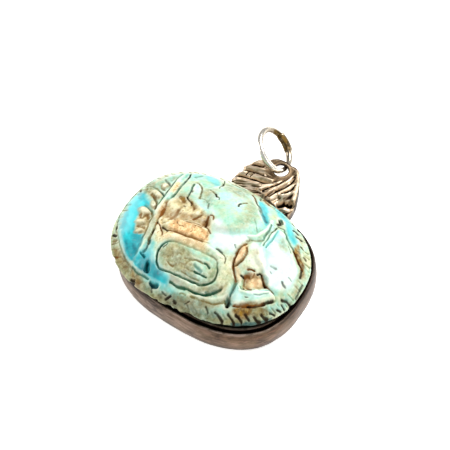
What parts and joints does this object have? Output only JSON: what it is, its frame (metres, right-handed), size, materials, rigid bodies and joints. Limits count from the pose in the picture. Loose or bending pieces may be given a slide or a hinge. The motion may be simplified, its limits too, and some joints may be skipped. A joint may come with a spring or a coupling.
{
  "type": "scarab pendant",
  "caption": "Carved turquoise-glazed scarab amulet set in an oval silver bezel, with a cast leaf bail and a jump ring to hang it from a chain or cord.",
  "frame": {"origin": "middle of the bezel's flat back, which the pendant lies on", "axes": "+X along the scarab from head to tail, +Y from the bezel to the bail and jump ring, +Z out of the carved face"},
  "size_m": [0.0255, 0.03, 0.0104],
  "materials": {
    "glazed_stone": "worn matte turquoise glaze on carved stone, pale mint where thin, brown burial stain in the cuts",
    "antiqued_silver": "silver sheet darkened by age and rubbed bright on its edges, fine scratches",
    "cast_silver": "cast silver, dark in its hollows and bright on its ridges",
    "silver_wire": "bright drawn silver wire"
  },
  "bodies": {
    "root": {"scarab": "glazed_stone", "bezel": "antiqued_silver", "bail": "cast_silver", "jump_ring": "silver_wire"}
  },
  "joints": []
}
